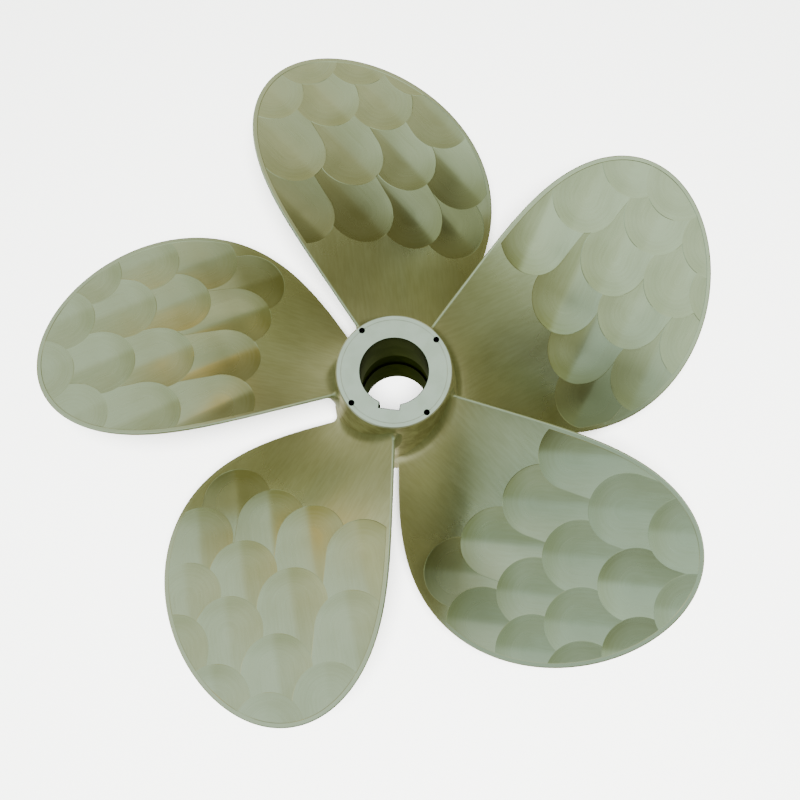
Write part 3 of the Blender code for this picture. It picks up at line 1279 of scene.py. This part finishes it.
@dataclass(frozen=True)
class GroundBronze(Bronze):
    """Blades ground with a soft disc: a dished groove in each mark, with fine scratches along it."""

    # Satin metal, greenish and pale. Each groove is bright on one flank and dull on the other, partly
    # from its slopes and partly painted highlight and painted shade. The leading side of the root has
    # olive painted shade.
    name: str = "disc_ground_nickel_aluminium_bronze"
    pale: str = "cfd2b6"
    dull: str = "a3a272"
    painted_shade_olive: str = "827f58"
    painted_shade_strength: float = 0.85
    roughness: float = 0.24
    patch_size: float = 71 * MM
    patch_limits: tuple[float, float] = NOISE_SPAN
    patch_shares: tuple[float, float] = (0.10, 0.30)
    # Slopes of the groove: beside its axis, across its dish and in its round end.
    crease: float = 0.055
    crease_width: float = 5 * MM
    dish: float = 0.07
    end_dish: float = 0.13
    # Painted shade on the flank that looks away and in the round end, a painted highlight on the other
    # flank at half the strength, and how much brighter the ungrooved border is.
    shade: float = 0.24
    end_shade: float = 0.42
    border_gain: float = 0.35
    # Real scratches are 0.1 mm wide. These bands of them are as narrow as the picture shows.
    arc_width: float = 6.7 * MM
    arc_length: float = 71 * MM
    stroke_width: float = 8.3 * MM
    stroke_length: float = 62 * MM
    scratch_height: float = 0.06 * MM
    streak: float = 0.09
    streaks_per_band: float = 2.4
    streak_evenness: float = 0.4
    bands_per_haze: float = 3.3
    haze: tuple[float, float] = (-0.03, 0.05)
    # Near the hub the disc reached badly, so the metal is rougher there, between these distances from
    # the shaft axis. Its colour is darker there as painted shade of the dark surroundings it mirrors,
    # and paler towards the tip as painted reflection of the bright surroundings it mirrors.
    hub_shade_share: float = 0.12
    hub_shade_span: tuple[float, float] = (120 * MM, 260 * MM)
    tip_reflection_span: tuple[float, float] = (260 * MM, 460 * MM)
    root_roughness: float = 0.14
    rough_root: tuple[float, float] = (140 * MM, 240 * MM)

    def work(self, graph: Graph, shader: bpy.types.Node) -> None:
        """Give the metal its grooves, scratches and tones, and its painted shade and painted
        highlights.

        Args:
            graph: Nodes of the material.
            shader: The material's shader.
        """
        ground = GrindingMap(graph)
        way = self.way(graph, ground)
        distance = self.from_axis(graph)
        self.shape(graph, shader, self.relief(graph, ground, way))
        share = self.patches(graph)
        for darkening in self.dullnesses(graph, ground, way, distance):
            share = graph.add("Math", share, darkening, operation="ADD")
        blend = self.colour(graph, shader, share)
        # Painted shade: the leading side of the root is blended towards olive.
        painted_shade = graph.add("Math", ground.painted_shade, self.painted_shade_strength, operation="MULTIPLY")
        blend = graph.add("Mix", painted_shade, blend, linear(self.painted_shade_olive), data_type="RGBA")
        graph.tree.links.new(blend.outputs[2], shader.inputs["Base Color"])
        smooth = {"interpolation_type": "SMOOTHSTEP"}
        haze = graph.add("TexNoise", way, 1 / self.bands_per_haze, 3.0)
        ends = [self.roughness + swing for swing in self.haze]
        haze = graph.add("MapRange", haze, *NOISE_SPAN, *ends, **smooth)
        rough = graph.add("MapRange", distance, *self.rough_root, self.root_roughness, 0.0, **smooth)
        rough = graph.add("Math", haze, rough, operation="ADD")
        graph.tree.links.new(rough.outputs[0], shader.inputs["Roughness"])

    def way(self, graph: Graph, ground: GrindingMap) -> bpy.types.Node:
        """Place in bands of scratches: arcs in a disc mark, and straight strokes elsewhere.

        Args:
            graph: Nodes of the material.
            ground: The blade's grinding map.

        Returns:
            The node that gives the place.
        """
        square = graph.add("Math", ground.across_square, ground.end_square, operation="ADD")
        from_middle = graph.add("Math", square, operation="SQRT")
        arcs = graph.add(
            "CombineXYZ",
            graph.add("Math", from_middle, self.arc_width, operation="DIVIDE"),
            graph.add("Math", ground.along, self.arc_length, operation="DIVIDE"),
            ground.tone,
        )
        strokes = graph.add(
            "CombineXYZ",
            graph.add("Math", ground.along, self.stroke_width, operation="DIVIDE"),
            graph.add("Math", ground.across, self.stroke_length, operation="DIVIDE"),
        )
        return graph.add("Mix", ground.marked, strokes, arcs, data_type="RGBA")

    def relief(self, graph: Graph, ground: GrindingMap, way: bpy.types.Node) -> bpy.types.Node:
        """Height of the grooves and the scratches.

        Args:
            graph: Nodes of the material.
            ground: The blade's grinding map.
            way: Node that gives the place in bands of scratches.

        Returns:
            The node that gives the height.
        """
        reach = 2 * DiscMark.radius
        square = graph.add("Math", ground.across_square, self.crease_width ** 2, operation="ADD")
        crease = graph.add("Math", square, operation="SQRT")
        groove = graph.add("Math", crease, self.crease, operation="MULTIPLY")
        for square, dish in ((ground.across_square, self.dish), (ground.end_square, self.end_dish)):
            groove = graph.add("Math", square, dish / reach, groove, operation="MULTIPLY_ADD")
        groove = graph.add("Math", groove, ground.tone, operation="MULTIPLY")
        noise = graph.add("TexNoise", way, 1.0, 1.5)
        scratches = graph.add("Math", noise, self.scratch_height, operation="MULTIPLY")
        return graph.add("Math", groove, ground.marked, scratches, operation="MULTIPLY_ADD")

    def dullnesses(
        self, graph: Graph, ground: GrindingMap, way: bpy.types.Node, distance: bpy.types.Node
    ) -> list[bpy.types.Node]:
        """Shares of the dull tone: painted shade and painted highlight on the grooves, painted shade
        near the hub, painted reflection towards the tip, and the grinding's streaks and paler border.

        Args:
            graph: Nodes of the material.
            ground: The blade's grinding map.
            way: Node that gives the place in bands of scratches.
            distance: Node that gives the distance from the shaft axis.

        Returns:
            A node for each share.
        """
        smooth = {"interpolation_type": "SMOOTHSTEP"}
        reach = 2 * DiscMark.radius
        # Painted shade on one flank of each groove and in its round end, and a painted highlight on the
        # other flank.
        ends = (-1.5 * self.crease_width, self.crease_width, self.shade, -self.shade / 2)
        flank = graph.add("MapRange", ground.across, *ends, **smooth)
        end = graph.add("MapRange", ground.along, reach / 8, reach / 2, 0.0, self.end_shade, **smooth)
        shade = graph.add("Math", flank, end, operation="ADD")
        shade = graph.add("Math", shade, ground.tone, operation="MULTIPLY")
        shade = graph.add("Math", shade, ground.marked, operation="MULTIPLY")
        # Painted shade near the hub and painted reflection towards the tip.
        root = graph.add("MapRange", distance, *self.hub_shade_span, self.hub_shade_share, 0.0, **smooth)
        tip = graph.add("MapRange", distance, *self.tip_reflection_span, 0.0, -self.hub_shade_share, **smooth)
        noise = graph.add("TexNoise", way, self.streaks_per_band, 2.0)
        streaks = graph.add("MapRange", noise, *NOISE_SPAN, -self.streak, self.streak, **smooth)
        weight = graph.add("Math", ground.marked, -self.streak_evenness, 1.0, operation="MULTIPLY_ADD")
        streaks = graph.add("Math", streaks, weight, operation="MULTIPLY")
        border = graph.add("Math", ground.marked, 1.0, operation="SUBTRACT")
        border = graph.add("Math", border, ground.tone, operation="MULTIPLY")
        border = graph.add("Math", border, self.border_gain, operation="MULTIPLY")
        return [root, tip, shade, streaks, border]


@dataclass(frozen=True)
class TurnedBronze(Bronze):
    """End faces of the hub, turned on a lathe."""

    # The palest metal of all, almost grey, with a soft even sheen and faint rings round the axis.
    name: str = "turned_nickel_aluminium_bronze"
    pale: str = "e8e9dd"
    dull: str = "d6d8c6"
    roughness: float = 0.34
    patch_size: float = 22 * MM
    patch_limits: tuple[float, float] = (0.35, 0.7)
    patch_shares: tuple[float, float] = (0.0, 0.5)
    # The real tool's rings are 0.2 mm apart. These are as close as the picture shows.
    ring_width: float = 3.1 * MM
    grain_size: float = 3.8 * MM
    ring_height: float = 0.012 * MM

    def work(self, graph: Graph, shader: bpy.types.Node) -> None:
        """Give the metal its rings and patches.

        Args:
            graph: Nodes of the material.
            shader: The material's shader.
        """
        round_axis = graph.add("CombineXYZ", self.from_axis(graph))
        rings = graph.add("TexNoise", round_axis, 1 / self.ring_width, 1.0)
        place = graph.add("TexCoord").outputs["Object"]
        grain = graph.add("TexNoise", place, 1 / self.grain_size, 1.0)
        height = graph.add("Math", rings, grain, operation="ADD")
        height = graph.add("Math", height, self.ring_height, operation="MULTIPLY")
        self.shape(graph, shader, height)
        super().work(graph, shader)


@dataclass(frozen=True)
class HandGroundBronze(Bronze):
    """Barrel of the hub, ground by hand between the blades."""

    # Duller than the blades, with a broad soft sheen, uneven and mottled in olive.
    name: str = "hand_ground_nickel_aluminium_bronze"
    pale: str = "e0deba"
    dull: str = "bab58a"
    roughness: float = 0.42
    patch_size: float = 26 * MM
    patch_detail: float = 4.0
    # Hollows that a hand grinder leaves.
    hollow_size: float = 9 * MM
    hollow_depth: float = 0.09 * MM

    def work(self, graph: Graph, shader: bpy.types.Node) -> None:
        """Give the metal its hollows and patches.

        Args:
            graph: Nodes of the material.
            shader: The material's shader.
        """
        place = graph.add("TexCoord").outputs["Object"]
        hollows = graph.add("TexNoise", place, 1 / self.hollow_size, 3.0)
        height = graph.add("Math", hollows, self.hollow_depth, operation="MULTIPLY")
        self.shape(graph, shader, height)
        super().work(graph, shader)


@dataclass(frozen=True)
class DarkBronze(Bronze):
    """Holes and the lower bore: cut, never polished. Their near-black colour is painted shade inside
    the holes and the bore.
    """

    # Nearly black olive as painted shade, with hardly a sheen. The tint keeps its reflections dark
    # where it is seen edge on, as painted shade too.
    name: str = "shaded_recess_nickel_aluminium_bronze"
    pale: str = "2e321c"
    dull: str = "202411"
    edge_tint: str = "b9c2a4"
    roughness: float = 0.6
    patch_size: float = 17 * MM

    def work(self, graph: Graph, shader: bpy.types.Node) -> None:
        """Give the metal its tint and patches.

        Args:
            graph: Nodes of the material.
            shader: The material's shader.
        """
        shader.inputs["Specular Tint"].default_value = linear(self.edge_tint)
        super().work(graph, shader)


@dataclass(frozen=True)
class BoredBronze(DarkBronze):
    """Upper bore and keyway: bored on a taper. Their dark colour is painted shade inside the bore."""

    # Dark olive as painted shade, with a faint sheen and soft rings from the boring tool.
    name: str = "bored_nickel_aluminium_bronze"
    pale: str = "4c5233"
    dull: str = "343a20"
    edge_tint: str = "c4cdb0"
    roughness: float = 0.5
    patch_size: float = 33 * MM
    # The real tool's rings are 0.3 mm apart. These are as close as the picture shows.
    ring_width: float = 3.3 * MM
    ring_height: float = 0.02 * MM

    def work(self, graph: Graph, shader: bpy.types.Node) -> None:
        """Give the metal its rings, tint and patches.

        Args:
            graph: Nodes of the material.
            shader: The material's shader.
        """
        super().work(graph, shader)
        place = graph.add("SeparateXYZ", graph.add("TexCoord").outputs["Object"])
        down_bore = graph.add("CombineXYZ", 0.0, 0.0, place.outputs[2])
        rings = graph.add("TexNoise", down_bore, 1 / self.ring_width, 1.0)
        height = graph.add("Math", rings, self.ring_height, operation="MULTIPLY")
        self.shape(graph, shader, height)


class Finish(Enum):
    """The finishes of the casting."""

    GROUND = GroundBronze()
    TURNED = TurnedBronze()
    BARREL = HandGroundBronze()
    BORED = BoredBronze()
    DARK = DarkBronze()


@dataclass
class Hub:
    """The hub: a turned barrel with a keyed, tapered bore and four tapped holes."""

    finishes: dict[Finish, bpy.types.Material]
    slots: tuple[Finish, ...] = (Finish.TURNED, Finish.BARREL, Finish.BORED, Finish.DARK)
    steps: int = 144
    barrel_steps: int = 28
    scribe_radius: float = 73 * MM
    scribe_width: float = 0.7 * MM
    scribe_depth: float = 0.25 * MM
    drill_radius: float = 4.25 * MM
    drill_steps: int = 32
    # The cutters are turned a little, so that no corner of theirs meets an edge of the hub.
    drill_turn: float = math.radians(2)
    thread_radius: float = 5.0 * MM
    thread_pitch: float = 1.5 * MM
    thread_steps: int = 20
    # Depths below the aft face: where the thread is cut from and to, and its first turn.
    thread_from: float = 1 * MM
    thread_to: float = 20 * MM
    first_turn: float = 2.2 * MM
    # Half the width of the ridge's foot, as a share of the pitch.
    thread_foot: float = 0.44
    # How much of a normal lies along the shaft axis: on a flat face, and on one or its chamfer.
    flat: float = 0.95
    slanted: float = 0.5

    def profile(self) -> list[tuple[float, float]]:
        """Closed half-section of the hub: (radius, height), up the barrel and down the bore.

        Returns:
            The corners of the half-section in order.
        """
        low = HUB.rim_chamfer
        high = HUB.length - HUB.rim_chamfer
        steps = range(self.barrel_steps + 1)
        heights = [low + (high - low) * step / self.barrel_steps for step in steps]
        barrel = [(float(HUB.radius(height)), height) for height in heights]
        forward = [(float(HUB.radius(0.0)) - HUB.rim_chamfer, 0.0)]
        aft = [(float(HUB.radius(HUB.length)) - HUB.rim_chamfer, HUB.length)]
        scribe = [
            (self.scribe_radius + self.scribe_width / 2, HUB.length),
            (self.scribe_radius, HUB.length - self.scribe_depth),
            (self.scribe_radius - self.scribe_width / 2, HUB.length),
        ]
        mouth = [
            (HUB.bore(HUB.length) + HUB.bore_chamfer, HUB.length),
            (HUB.bore(HUB.length - HUB.bore_chamfer), HUB.length - HUB.bore_chamfer),
        ]
        relief = [
            (HUB.bore(HUB.relief_top), HUB.relief_top),
            (HUB.relief_radius, HUB.relief_top - HUB.relief_slope),
            (HUB.relief_radius, HUB.relief_bottom + HUB.relief_slope),
            (HUB.bore(HUB.relief_bottom), HUB.relief_bottom),
        ]
        lower_mouth = [
            (HUB.bore(HUB.bore_chamfer), HUB.bore_chamfer),
            (HUB.bore(0.0) + HUB.bore_chamfer, 0.0),
        ]
        return forward + barrel + aft + scribe + mouth + relief + lower_mouth

    def turn_barrel(self) -> bpy.types.Object:
        """Turn the half-section round the shaft axis.

        Returns:
            The hub, not yet keyed or drilled.
        """
        profile = self.profile()
        bpy.ops.object.select_all(action="DESELECT")
        bpy.ops.mesh.primitive_circle_add(vertices=len(profile), radius=0.1)
        piece = bpy.context.object
        piece.name = "hub"
        for vertex, (radius, height) in zip(piece.data.vertices, profile):
            vertex.co = (radius, 0.0, height)
        bpy.ops.object.mode_set(mode="EDIT")
        bpy.ops.mesh.select_all(action="SELECT")
        bpy.ops.mesh.spin(steps=self.steps, angle=2 * math.pi, center=(0, 0, 0), axis=(0, 0, 1))
        bpy.ops.object.mode_set(mode="OBJECT")
        close_mesh(piece, 0.02 * MM)
        return piece

    def keyway_cutter(self) -> bpy.types.Object:
        """Bar that follows the bore's taper and cuts the keyway at -Y.

        Returns:
            The cutter.
        """
        bpy.ops.object.select_all(action="DESELECT")
        bpy.ops.mesh.primitive_cube_add(size=1.0)
        cutter = bpy.context.object
        margin = 5 * MM
        for corner in cutter.data.vertices:
            height = HUB.length + margin if corner.co.z > 0 else -margin
            floor = HUB.bore(height) + HUB.keyway_depth
            corner.co.x = math.copysign(HUB.keyway_width / 2, corner.co.x)
            corner.co.y = -floor if corner.co.y < 0 else -HUB.bore_aft_radius / 2
            corner.co.z = height
        return cutter

    @staticmethod
    def hole_centre(number: int) -> Vector:
        """Middle of one of the holes' mouths in the aft face.

        Args:
            number: Which hole.

        Returns:
            The middle, in metres.
        """
        azimuth = 2 * math.pi * (number + 0.5) / HUB.bolt_hole_count
        radius = HUB.bolt_circle_radius
        return Vector((radius * math.cos(azimuth), radius * math.sin(azimuth), HUB.length))

    def keyway_flare(self) -> bpy.types.Object:
        """Cutter that chamfers the mouth of the keyway in the aft face.

        Returns:
            The cutter.
        """
        bpy.ops.object.select_all(action="DESELECT")
        bpy.ops.mesh.primitive_cube_add(size=1.0)
        cutter = bpy.context.object
        for corner in cutter.data.vertices:
            rise = 3 * MM if corner.co.z > 0 else -HUB.bore_chamfer
            spread = rise + HUB.bore_chamfer
            floor = HUB.bore(HUB.length) + HUB.keyway_depth + spread
            corner.co.x = math.copysign(HUB.keyway_width / 2 + spread, corner.co.x)
            corner.co.y = -floor if corner.co.y < 0 else -HUB.bore_aft_radius / 2
            corner.co.z = HUB.length + rise
        return cutter

    def drill(self, number: int, radius: float, top: float, depth: float) -> bpy.types.Object:
        """Round cutter for one of the holes in the aft face.

        Args:
            number: Which hole.
            radius: Radius of the cutter.
            top: Height of its top end above the aft face.
            depth: Depth of its lower end below the aft face.

        Returns:
            The cutter.
        """
        centre = self.hole_centre(number)
        centre.z += (top - depth) / 2
        bpy.ops.object.select_all(action="DESELECT")
        bpy.ops.mesh.primitive_cylinder_add(
            vertices=self.drill_steps,
            radius=radius,
            depth=top + depth,
            location=centre,
            rotation=(0, 0, self.drill_turn),
        )
        bpy.ops.object.transform_apply()
        return bpy.context.object

    def thread(self, number: int) -> bpy.types.Object:
        """Thread of one tapped hole: a ridge that winds down from just below the mouth.

        Args:
            number: Which hole.

        Returns:
            The thread's object.
        """
        bpy.ops.object.select_all(action="DESELECT")
        bpy.ops.mesh.primitive_circle_add(vertices=3, radius=1 * MM)
        piece = bpy.context.object
        piece.name = f"tapped_thread_{number + 1}"
        half = self.thread_pitch * self.thread_foot
        corners = ((self.thread_radius, -half), (self.drill_radius, 0.0), (self.thread_radius, half))
        for vertex, (radius, height) in zip(piece.data.vertices, corners):
            vertex.co = (radius, 0.0, height)
        turns = int((self.thread_to - 3 * MM) / self.thread_pitch)
        screw = piece.modifiers.new("thread", "SCREW")
        screw.axis = "Z"
        screw.iterations = turns
        screw.screw_offset = -self.thread_pitch
        screw.steps = self.thread_steps
        screw.render_steps = self.thread_steps
        select_only(piece)
        bpy.ops.object.modifier_apply(modifier=screw.name)
        centre = self.hole_centre(number)
        centre.z -= self.first_turn
        for vertex in piece.data.vertices:
            vertex.co += centre
        bpy.ops.object.mode_set(mode="EDIT")
        bpy.ops.mesh.select_all(action="SELECT")
        bpy.ops.mesh.fill_holes(sides=4)
        bpy.ops.mesh.normals_make_consistent(inside=False)
        bpy.ops.object.mode_set(mode="OBJECT")
        return piece

    def cut(self, piece: bpy.types.Object, cutter: bpy.types.Object) -> None:
        """Cut a shape away from the hub, and remove the cutter.

        Args:
            piece: The hub.
            cutter: The shape to cut away.
        """
        modifier = piece.modifiers.new("cut", "BOOLEAN")
        modifier.operation = "DIFFERENCE"
        modifier.solver = "EXACT"
        modifier.object = cutter
        select_only(piece)
        bpy.ops.object.modifier_apply(modifier=modifier.name)
        bpy.data.objects.remove(cutter, do_unlink=True)

    def finish_of(self, centre: Vector, normal: Vector) -> Finish:
        """Finish of a face of the hub, by where it lies and which way it looks.

        Args:
            centre: Middle of the face.
            normal: Direction that the face looks.

        Returns:
            The finish.
        """
        distance = math.hypot(centre.x, centre.y)
        depth = HUB.length - centre.z
        if 0.01 * MM < depth < HUB.bolt_hole_depth + 1 * MM:
            holes = [self.hole_centre(number).xy for number in range(HUB.bolt_hole_count)]
            nearest = min((centre.xy - hole).length for hole in holes)
            if nearest < self.thread_radius * 1.02:
                return Finish.DARK
        # The chamfers of the bore and the keyway go with the bore, and each rim's with its end face.
        beside_bore = distance < HUB.bolt_circle_radius - 10 * MM
        level = abs(normal.z) > (self.flat if beside_bore else self.slanted)
        at_an_end = min(centre.z, depth) < 2 * MM
        if level and at_an_end:
            return Finish.TURNED
        if distance > HUB.relief_radius + HUB.keyway_depth + 1 * MM:
            return Finish.BARREL
        return Finish.BORED if centre.z > HUB.relief_top else Finish.DARK

    def build(self) -> None:
        """Make the hub and the threads in its holes, and dress them."""
        piece = self.turn_barrel()
        self.cut(piece, self.keyway_cutter())
        self.cut(piece, self.keyway_flare())
        for number in range(HUB.bolt_hole_count):
            self.cut(piece, self.drill(number, self.drill_radius, 3 * MM, HUB.bolt_hole_depth))
            self.cut(piece, self.drill(number, self.thread_radius, -self.thread_from, self.thread_to))
        soften(piece, 20)
        dress(piece, [self.finishes[finish] for finish in self.slots])
        for face in piece.data.polygons:
            face.material_index = self.slots.index(self.finish_of(face.center, face.normal))
        for number in range(HUB.bolt_hole_count):
            dress(self.thread(number), [self.finishes[Finish.DARK]])


@dataclass(frozen=True)
class PhotoCamera:
    """Camera at the photograph's viewing angle: from aft, a little above the lower blades."""

    place: tuple[float, float, float] = (0.0820, -0.3812, 1.6917)
    turn_degrees: tuple[float, float, float] = (13.361, 0.905, 7.55)
    lens: float = 49.92
    sensor: float = 36.0

    def make(self) -> None:
        """Add the camera and make it the scene's own."""
        data = bpy.data.cameras.new("photo_camera")
        data.lens = self.lens
        data.sensor_width = self.sensor
        camera = bpy.data.objects.new("photo_camera", data)
        camera.location = self.place
        camera.rotation_euler = Euler([math.radians(angle) for angle in self.turn_degrees], "XYZ")
        bpy.context.scene.collection.objects.link(camera)
        bpy.context.scene.camera = camera


@dataclass(frozen=True)
class SkyPatch:
    """Round patch of the surroundings in its own colour, fading out at its reach in degrees."""

    azimuth: float
    elevation: float
    reach: float
    share: float
    colour: str

    def toward(self) -> tuple[float, float, float]:
        """Direction of its middle.

        Returns:
            A direction of length 1.
        """
        rise = math.radians(self.elevation)
        turn = math.radians(self.azimuth)
        return (math.cos(rise) * math.cos(turn), math.cos(rise) * math.sin(turn), math.sin(rise))


@dataclass(frozen=True)
class Studio:
    """Plain pale floor and soft light from above."""

    floor_size: float = 14.0
    floor_colour: str = "f4f4f2"
    floor_roughness: float = 0.9
    floor_specular: float = 0.1
    lamp_place: tuple[float, float, float] = (0.15, -0.7, 3.2)
    lamp_tilt: float = math.radians(12)
    lamp_size: float = 0.9
    lamp_energy: float = 700
    # Colours of the surroundings, from straight below, at 0, to straight above, at 1.
    sky: tuple[tuple[float, str], ...] = (
        (0.0, "dadac4"),
        (0.12, "cfcfb0"),
        (0.42, "c4c4a2"),
        (0.53, "807c56"),
        (0.67, "898c68"),
        (0.80, "979e7c"),
        (0.883, "adb79c"),
        (0.933, "c5d6c2"),
        (0.985, "def9ee"),
    )
    sky_strength: float = 1.3
    backdrop: str = "ececea"
    patches: tuple[SkyPatch, ...] = (
        SkyPatch(218, 56, 42, 0.8, "a2bcba"),
        SkyPatch(130, 48, 44, 0.85, "cde0d6"),
        SkyPatch(30, 24, 50, 0.85, "77754c"),
        SkyPatch(240, 30, 28, 0.8, "c4d6ca"),
        SkyPatch(272, 36, 32, 0.9, "5c5e44"),
        SkyPatch(355, 64, 26, 0.8, "e6fcee"),
        SkyPatch(158, 50, 24, 0.6, "d8ecea"),
        SkyPatch(60, 46, 17, 0.85, "d4d8bc"),
        SkyPatch(150, 28, 24, 0.8, "c6c5a0"),
        SkyPatch(235, -45, 42, 0.9, "fbfbe6"),
        SkyPatch(310, -42, 34, 0.7, "7a7750"),
        SkyPatch(105, 12, 22, 0.9, "7c774f"),
        SkyPatch(172, 27, 20, 0.9, "f4fbe6"),
        SkyPatch(98, 29, 9, 0.9, "f0cf82"),
        SkyPatch(147, 25, 9, 0.9, "f0cf82"),
        SkyPatch(12, 42, 15, 0.8, "55573a"),
        SkyPatch(285, 59, 13, 0.8, "5c5e40"),
    )

    def make_floor(self) -> None:
        """Lay the floor at the height that the hub rests on."""
        bpy.ops.object.select_all(action="DESELECT")
        bpy.ops.mesh.primitive_plane_add(size=self.floor_size)
        floor = bpy.context.object
        floor.name = "studio_floor"
        material = bpy.data.materials.new("pale_floor")
        material.use_nodes = True
        shader = material.node_tree.nodes["Principled BSDF"]
        shader.inputs["Base Color"].default_value = linear(self.floor_colour)
        shader.inputs["Roughness"].default_value = self.floor_roughness
        shader.inputs["Specular IOR Level"].default_value = self.floor_specular
        floor.data.materials.append(material)
        floor.visible_glossy = False

    def make_world(self) -> None:
        """Light the scene from all round: pale from above, dimmer and warmer from the sides."""
        world = bpy.data.worlds.new("soft_studio")
        bpy.context.scene.world = world
        world.use_nodes = True
        world.node_tree.nodes.clear()
        graph = Graph(world)
        direction = graph.add("TexCoord").outputs["Generated"]
        rise = graph.add("SeparateXYZ", direction).outputs[2]
        height = graph.add("Math", rise, 0.5, 0.5, operation="MULTIPLY_ADD")
        colour = graph.add("ValToRGB", height)
        colour.color_ramp.interpolation = "EASE"
        stops = colour.color_ramp.elements
        for place, code in self.sky:
            stop = stops[0] if place == 0.0 else stops.new(place)
            stop.color = linear(code)
        stops.remove(stops[len(stops) - 1])
        for patch in self.patches:
            near = graph.add("VectorMath", direction, patch.toward(), operation="DOT_PRODUCT")
            ends = (math.cos(math.radians(patch.reach)), 1.0, 0.0, patch.share)
            share = graph.add("MapRange", near, *ends, interpolation_type="SMOOTHSTEP")
            colour = graph.add("Mix", share, colour, linear(patch.colour), data_type="RGBA")
        light = graph.add("Background", colour, self.sky_strength)
        # What lies behind the propeller in the picture is plain, whatever the metal mirrors.
        backdrop = graph.add("Background", linear(self.backdrop), 1.0)
        seen = graph.add("LightPath").outputs["Is Camera Ray"]
        graph.add("OutputWorld", graph.add("MixShader", seen, light, backdrop))

    def make_lamp(self) -> None:
        """Hang a soft lamp beside the camera."""
        data = bpy.data.lights.new("overhead_softbox", "AREA")
        data.shape = "DISK"
        data.size = self.lamp_size
        data.energy = self.lamp_energy
        lamp = bpy.data.objects.new("overhead_softbox", data)
        lamp.location = self.lamp_place
        lamp.rotation_euler = Euler((self.lamp_tilt, 0, 0), "XYZ")
        lamp.visible_glossy = False
        bpy.context.scene.collection.objects.link(lamp)

    def make(self) -> None:
        """Set up the floor and the light."""
        self.make_floor()
        self.make_world()
        self.make_lamp()


def main() -> None:
    """Set up the camera, build the propeller's pieces in order, and set up the studio."""
    logging.basicConfig(level=logging.INFO, format="%(message)s")
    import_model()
    PhotoCamera().make()
    finishes = {finish: finish.value.make() for finish in Finish}
    Hub(finishes).build()
    for number in range(BLADE.count):
        Blade(number, finishes[Finish.GROUND]).build()
    Studio().make()


if __name__ == "__main__":
    main()
